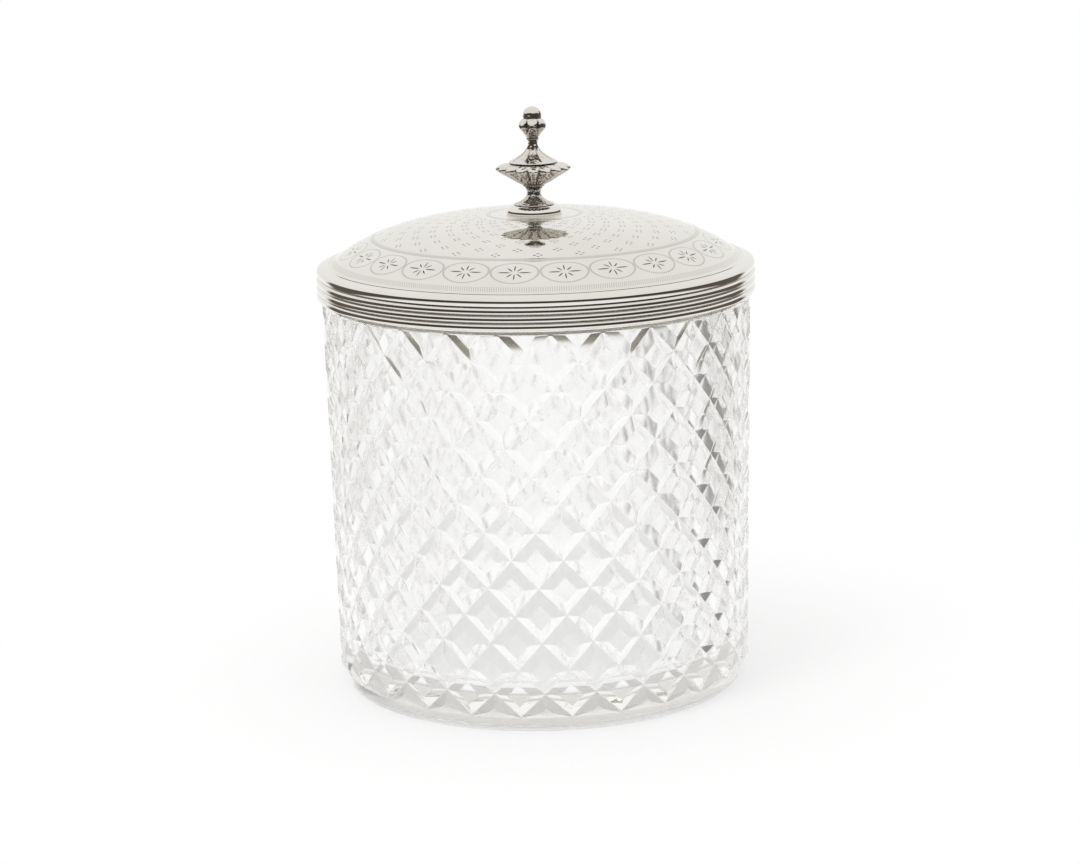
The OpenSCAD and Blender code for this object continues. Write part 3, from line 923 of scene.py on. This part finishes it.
# %% Spun lid
DOME_TOP_Z = 151.6
SHOULDER_R = 63.4
DOME_FALL = 12.9
LATE_FALL = 0.66
BAND_FALL = 1
BAND_R = SHOULDER_R + 1.5
BORDER_R = 1.5
BORDER_RISE = 1.4
RIDGE_IN_R = 66.2
RIDGE_Z = SEAT_Z + 3.4
RIDGE_R = 0.4
SHEET_T = 1
FLANGE_T = 0.8
LINE_RADII = (12.1, 13.9, 15.5, 51.0, 52.4)
LINE_HALF = 0.13
LINE_DEPTH = 0.07
LINE_CLEAR = 0.5
DOME_RINGS = 56
HOLE_R = 1.1
SEAT_FLAT_R = radius_of("finial_foot")


def dome_height(radius):
    """Height of the dome's outer face, which is level under the finial."""
    t = max(radius, SEAT_FLAT_R) / SHOULDER_R
    return DOME_TOP_Z - DOME_FALL * ((1 - LATE_FALL) * t ** 2 + LATE_FALL * t ** 4)


def dome_outline():
    """Points of the dome from the shoulder inwards, with a groove at every ring line."""
    rings = [SHOULDER_R * (1 - k / DOME_RINGS) for k in range(DOME_RINGS)]
    clear = [r for r in rings if r > HOLE_R + 1 and min(abs(r - line) for line in LINE_RADII) > LINE_CLEAR]
    points = [(r, dome_height(r)) for r in clear]
    for line in LINE_RADII:
        points.append((line - LINE_HALF, dome_height(line - LINE_HALF)))
        points.append((line, dome_height(line) - LINE_DEPTH))
        points.append((line + LINE_HALF, dome_height(line + LINE_HALF)))
    return sorted(points, reverse=True)


SEAT_TOP_Z = dome_height(0)
SHOULDER_Z = dome_height(SHOULDER_R)
under_dome = [(HOLE_R, SEAT_TOP_Z - SHEET_T), (SEAT_FLAT_R - 1, SEAT_TOP_Z - SHEET_T)]
under_dome += [(k * 3.0, dome_height(k * 3.0 + 0.4) - SHEET_T) for k in range(3, 21)]
lid_start = (RIDGE_IN_R, SEAT_Z + GAP)
lid = turned("engraved_lid", [
    lid_start, (LID_R - 0.75, SEAT_Z + GAP), (LID_R - 0.08, SEAT_Z + 1.3),
    *arc(LID_R - BORDER_R, SEAT_Z + BORDER_RISE, BORDER_R, 18, 52, 6),
    (LID_R - 1.35, SEAT_Z + 2.9), (RIDGE_IN_R + 1.4, RIDGE_Z - 0.3), (RIDGE_IN_R + 0.6, RIDGE_Z - 0.1),
    *arc(RIDGE_IN_R, RIDGE_Z, RIDGE_R, 0, 165, 8),
    (BAND_R, SHOULDER_Z - BAND_FALL), *dome_outline(), (HOLE_R, SEAT_TOP_Z),
    *under_dome,
    (SHOULDER_R - 0.4, SHOULDER_Z - SHEET_T), (BAND_R - 0.8, SHOULDER_Z - BAND_FALL - SHEET_T),
    (RIDGE_IN_R, SEAT_Z + FLANGE_T), lid_start,
])
set_on(lid, "lid", "plated_lid", engraved_plate(), "lid_dome")

# %% Locating wall under the lid
BEZEL_DEPTH = SEAT_Z - low_of("lid_bezel")
BEZEL_R = MOUTH_R - 0.4
BEZEL_T = 0.8
bezel_foot = (BEZEL_R - BEZEL_T, SEAT_Z - BEZEL_DEPTH)
bezel = turned("lid_locating_wall", [
    bezel_foot, (BEZEL_R - 0.3, SEAT_Z - BEZEL_DEPTH), (BEZEL_R, SEAT_Z - BEZEL_DEPTH + 0.6),
    (BEZEL_R, SEAT_Z), (RIDGE_IN_R, SEAT_Z + GAP), (RIDGE_IN_R, SEAT_Z + FLANGE_T),
    (BEZEL_R - BEZEL_T, SEAT_Z + FLANGE_T), bezel_foot,
])
set_on(bezel, "lid", "plated_lid", plain_plate, "lid_bezel")

# %% [markdown]
# ## Finial
# The finial is a stack of small castings on one stud. The lobed ones were cast and chased, so
# they aren't plain turned forms: their outline is spun with eight columns of points for each
# lobe, and then the columns away from a lobe's crown are drawn in towards the axis. The last
# step smooths the piece, so the columns where two lobes meet are creased to stay sharp.

# %% Lobed pieces
BOWL_LOBES = 16
COVER_FLUTES = 8
KNOP_BOSSES = 6
LOBE_COLUMNS = 8
VALLEY_CREASE = 0.9
LOBED_FROM = 0.03


def off_the_crown(point, count):
    """Number of columns between a point and the nearest crown of a lobe."""
    turn = math.degrees(math.atan2(point.co.x, -point.co.y)) * count * LOBE_COLUMNS / 360
    step = round(turn) % LOBE_COLUMNS
    return min(step, LOBE_COLUMNS - step)


def lobed(name, outline, count, hollow=False):
    """A turned form of (radius, height, depth) rows with round lobes, or with hollow flutes."""
    piece = turned(name, [row[:2] for row in outline], steps=count * LOBE_COLUMNS)
    bpy.ops.object.mode_set(mode="EDIT")
    bpy.ops.mesh.select_mode(type="VERT")
    for radius, height, depth in outline:
        for phase in range(LOBE_COLUMNS // 2 + 1):
            wave = abs(math.cos(math.pi * phase / LOBE_COLUMNS))
            scale = 1 - depth * wave if hollow else 1 - depth * (1 - wave)
            if abs(scale - 1) < 1e-6:
                continue

            def in_phase(point):
                at_height = abs(point.co.z / MM - height) < NEAR_ENOUGH
                return at_height and off_the_crown(point, count) == phase

            pick("verts", in_phase)
            bpy.ops.transform.resize(value=(scale, scale, 1), center_override=(0, 0, 0))
    lobed_rows = [row[1] for row in outline if row[2] > LOBED_FROM]

    def where_lobes_meet(edge):
        heights = [point.co.z / MM for point in edge.verts]
        return (all(off_the_crown(point, count) == LOBE_COLUMNS // 2 for point in edge.verts)
                and min(heights) > lobed_rows[0] - NEAR_ENOUGH
                and max(heights) < lobed_rows[-1] + NEAR_ENOUGH)

    bpy.ops.mesh.select_mode(type="EDGE")
    pick("edges", where_lobes_meet)
    bpy.ops.transform.edge_crease(value=VALLEY_CREASE)
    bpy.ops.object.mode_set(mode="OBJECT")
    apply_modifier(piece, "SUBSURF", levels=2, render_levels=2)
    bpy.ops.object.shade_smooth()
    return piece


# %% [markdown]
# A cloth never reaches the valleys of a casting, so brown tarnish stays in them, and most of
# all on the stem and under the bowl. An ambient occlusion node finds the hollows by itself.
# The chaser's punches left the casting a little uneven, which breaks every reflection up.

# %% Finial plate
TARNISH_TONE = "#7E6754"
HOLLOW_REACH_MM = 1.6
CHASING_MM = 1.5
CHASING_DEPTH_MM = 0.42
CAST_WIPE_DEPTH_MM = 0.004
CAST_DULLING = 0.05
VALLEY_SHARES = (0.37, 0.47)
LOW_STAIN = (0.42, 0.1)
HOLLOW_SKY = (0.8, 0.3)
HOLLOW_STAIN = 0.75
VALLEY_STAIN = 0.7
FLUTE_STAIN = 0.75


def valleys(tree, place, count, low, high):
    """Mask of the lines where the lobes of one piece meet, between two heights."""
    _, cells = lid_polar(tree, place)
    share = add(tree, "Math", {0: product(tree, cells, count / CELLS), 1: 0.5, 2: -0.5}, operation="WRAP")
    off = add(tree, "Math", {0: share.outputs[0]}, operation="ABSOLUTE").outputs[0]
    line = add(tree, "MapRange", {0: off, 1: VALLEY_SHARES[0], 2: VALLEY_SHARES[1]}).outputs[0]
    height = product(tree, add(tree, "SeparateXYZ", {0: place}).outputs["Z"], 1 / MM)
    return product(tree, line, window(tree, height, low, high))


def cast_plate():
    """Silver plate on chased castings, with brown tarnish in the hollows."""
    material = empty_material("silver_plate_cast_tarnished")
    tree = material.node_tree
    place, tone, haze, wipes = plate_surface(tree)
    height = add(tree, "SeparateXYZ", {0: place}).outputs["Z"]
    low = add(tree, "MapRange", {0: height, 1: STEM_Z * MM, 2: (BOWL_Z + 6) * MM,
                                 3: LOW_STAIN[0], 4: LOW_STAIN[1]}).outputs[0]
    open_sky = add(tree, "AmbientOcclusion", {"Distance": HOLLOW_REACH_MM * MM}, samples=8).outputs["AO"]
    hollow = add(tree, "MapRange", {0: open_sky, 1: HOLLOW_SKY[0], 2: HOLLOW_SKY[1],
                                    4: HOLLOW_STAIN}).outputs[0]
    stain = strongest(tree, [
        low, hollow,
        product(tree, valleys(tree, place, BOWL_LOBES, BOWL_Z + 1.2, BOWL_Z + 6.6), VALLEY_STAIN),
        product(tree, valleys(tree, place, COVER_FLUTES, COVER_Z + 1, COVER_Z + 5.6), FLUTE_STAIN),
        product(tree, valleys(tree, place, KNOP_BOSSES, KNOP_Z + 1.6, KNOP_Z + 5.9), VALLEY_STAIN),
    ])
    chasing = add(tree, "TexNoise", {"Vector": place, "Scale": 1 / (CHASING_MM * MM), "Detail": 1.0})
    uneven = add(tree, "Bump", {"Height": chasing.outputs["Fac"], "Strength": 1.0,
                                "Distance": CHASING_DEPTH_MM * MM}).outputs[0]
    marks = wiped(tree, wipes, CAST_WIPE_DEPTH_MM, Normal=uneven)
    dulled = add(tree, "Math", {0: haze, 1: CAST_DULLING}, operation="ADD").outputs[0]
    plate = add(tree, "BsdfPrincipled", {
        "Base Color": blend(tree, stain, tone, colour(TARNISH_TONE)), "Metallic": 1.0,
        "Roughness": dulled, "Normal": marks,
    })
    add(tree, "OutputMaterial", {0: plate.outputs[0]})
    return material


# %% [markdown]
# From the lid upwards: a cushion-shaped foot, a spool with a thin spreading foot, the bowl, a
# fluted cover shaped like a trumpet's mouth, and a knop with six bosses and a ball.

# %% Pieces of the finial
STEM_Z = top_of("finial_foot")
BOWL_Z = top_of("finial_stem")
COVER_Z = top_of("finial_bowl")
KNOP_Z = top_of("finial_cover")
STEM_FOOT_R = 6.2
CUSHION_R = radius_of("finial_foot")
CUSHION_H = STEM_Z - SEAT_TOP_Z
CUSHION_WAIST = 0.2
BALL_R = 2.95
BALL_RISE = 0.9

round_r = CUSHION_R - STEM_FOOT_R
foot_start = (HOLE_R, SEAT_TOP_Z + GAP)
foot = turned("finial_cushion_foot", [
    foot_start, (CUSHION_R - 0.3, SEAT_TOP_Z + GAP),
    *arc(STEM_FOOT_R, SEAT_TOP_Z + CUSHION_WAIST * CUSHION_H, round_r, 0, 90, 12,
         flat=(1 - CUSHION_WAIST) * CUSHION_H / round_r),
    (HOLE_R, STEM_Z), foot_start,
], steps=128)
stem = turned("finial_stem_spool", [
    (HOLE_R, STEM_Z), (STEM_FOOT_R - 0.4, STEM_Z), (STEM_FOOT_R + 0.2, STEM_Z + 0.15),
    (STEM_FOOT_R + 0.1, STEM_Z + 0.35), (5.4, STEM_Z + 0.65), (4.75, STEM_Z + 0.9),
    (4.25, STEM_Z + 1.2), (3.4, STEM_Z + 1.8), (2.7, STEM_Z + 2.4), (2.35, STEM_Z + 3.1),
    (2.2, STEM_Z + 3.9), (2.3, STEM_Z + 4.6), (2.6, STEM_Z + 5.2), (2.85, STEM_Z + 5.45),
    (2.85, BOWL_Z), (HOLE_R, BOWL_Z), (HOLE_R, STEM_Z),
], steps=96)
bowl = lobed("gadrooned_bowl", [
    (0, BOWL_Z, 0), (2.9, BOWL_Z + 0.01, 0), (3.4, BOWL_Z + 0.2, 0), (3.5, BOWL_Z + 0.42, 0),
    (3.25, BOWL_Z + 0.6, 0), (4, BOWL_Z + 0.9, 0.08), (5.6, BOWL_Z + 1.6, 0.2),
    (7.8, BOWL_Z + 3, 0.27), (10.1, BOWL_Z + 4.3, 0.27), (11.6, BOWL_Z + 5.1, 0.23),
    (12.15, BOWL_Z + 5.8, 0.18), (11.7, BOWL_Z + 6.45, 0.16), (10.4, BOWL_Z + 6.95, 0.12),
    (8.6, BOWL_Z + 7.35, 0.04), (7.8, BOWL_Z + 7.5, 0), (7.0, COVER_Z, 0), (0, COVER_Z + 0.01, 0),
], BOWL_LOBES)
cover = lobed("fluted_cover", [
    (0, COVER_Z + 0.02, 0), (7.0, COVER_Z + 0.03, 0), (7.6, COVER_Z + 0.1, 0), (7.8, COVER_Z + 0.3, 0),
    (7.6, COVER_Z + 0.5, 0), (7.1, COVER_Z + 0.85, 0.02), (5.9, COVER_Z + 1.5, 0.1),
    (4.7, COVER_Z + 2.15, 0.17), (3.75, COVER_Z + 2.8, 0.22), (3.1, COVER_Z + 3.3, 0.24),
    (2.65, COVER_Z + 3.8, 0.24), (2.1, COVER_Z + 4.6, 0.18), (1.75, COVER_Z + 5.3, 0.08),
    (1.5, COVER_Z + 6, 0), (1.5, COVER_Z + 6.4, 0), (1.6, COVER_Z + 6.8, 0), (1.95, COVER_Z + 7.35, 0),
    (2.15, KNOP_Z - 0.15, 0), (2.0, KNOP_Z, 0), (0, KNOP_Z + 0.01, 0),
], COVER_FLUTES, hollow=True)
knop = lobed("bossed_knop", [
    (0, KNOP_Z + 0.02, 0), (2.0, KNOP_Z + 0.03, 0), (2.15, KNOP_Z + 0.5, 0), (2.75, KNOP_Z + 1.3, 0.02),
    (3.4, KNOP_Z + 2, 0.1), (4.25, KNOP_Z + 2.9, 0.2), (4.75, KNOP_Z + 3.6, 0.25),
    (4.8, KNOP_Z + 4.2, 0.26), (4.45, KNOP_Z + 5, 0.22), (3.7, KNOP_Z + 5.8, 0.12),
    (2.9, KNOP_Z + 6.15, 0), (2.95, KNOP_Z + 6.5, 0),
    *[(r, z, 0) for r, z in arc(0, TIP_Z - BALL_RISE * BALL_R, BALL_R, 10, 80, 7, flat=BALL_RISE)],
    (0, TIP_Z, 0),
], KNOP_BOSSES)
finial_plate = cast_plate()
set_on(foot, "lid", "plated_finial", plain_plate, "finial_foot")
for piece, node in ((stem, "finial_stem"), (bowl, "finial_bowl"), (cover, "finial_cover"),
                    (knop, "finial_knop")):
    set_on(piece, "lid", "plated_finial", finial_plate, node)

# %% [markdown]
# The stud, its washer and its nut are plain turned brass. Nobody sees them with the lid on, so
# they keep the shapes of the frame and only get their material.

# %% Brass under the lid
BRASS_TONE = "#C9A85C"
BRASS_SHADE = "#A88746"
BRASS_GRAIN_MM = 0.6
BRASS_HAZE = (0.25, 0.4)


def turned_brass():
    """Dull brass with a finely uneven tone."""
    material = empty_material("brass_turned")
    tree = material.node_tree
    place = add(tree, "TexCoord").outputs["Object"]
    grain = add(tree, "TexNoise", {"Vector": place, "Scale": 1 / (BRASS_GRAIN_MM * MM),
                                   "Detail": 3.0}).outputs["Fac"]
    tone = blend(tree, grain, colour(BRASS_TONE), colour(BRASS_SHADE))
    haze = spread(tree, grain, *BRASS_HAZE)
    metal = add(tree, "BsdfPrincipled", {"Base Color": tone, "Metallic": 1.0, "Roughness": haze})
    add(tree, "OutputMaterial", {0: metal.outputs[0]})
    return material


brass = turned_brass()
for node in ("finial_stud", "stud_washer", "stud_nut"):
    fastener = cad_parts[node]
    fastener.data.materials.clear()
    fastener.data.materials.append(brass)
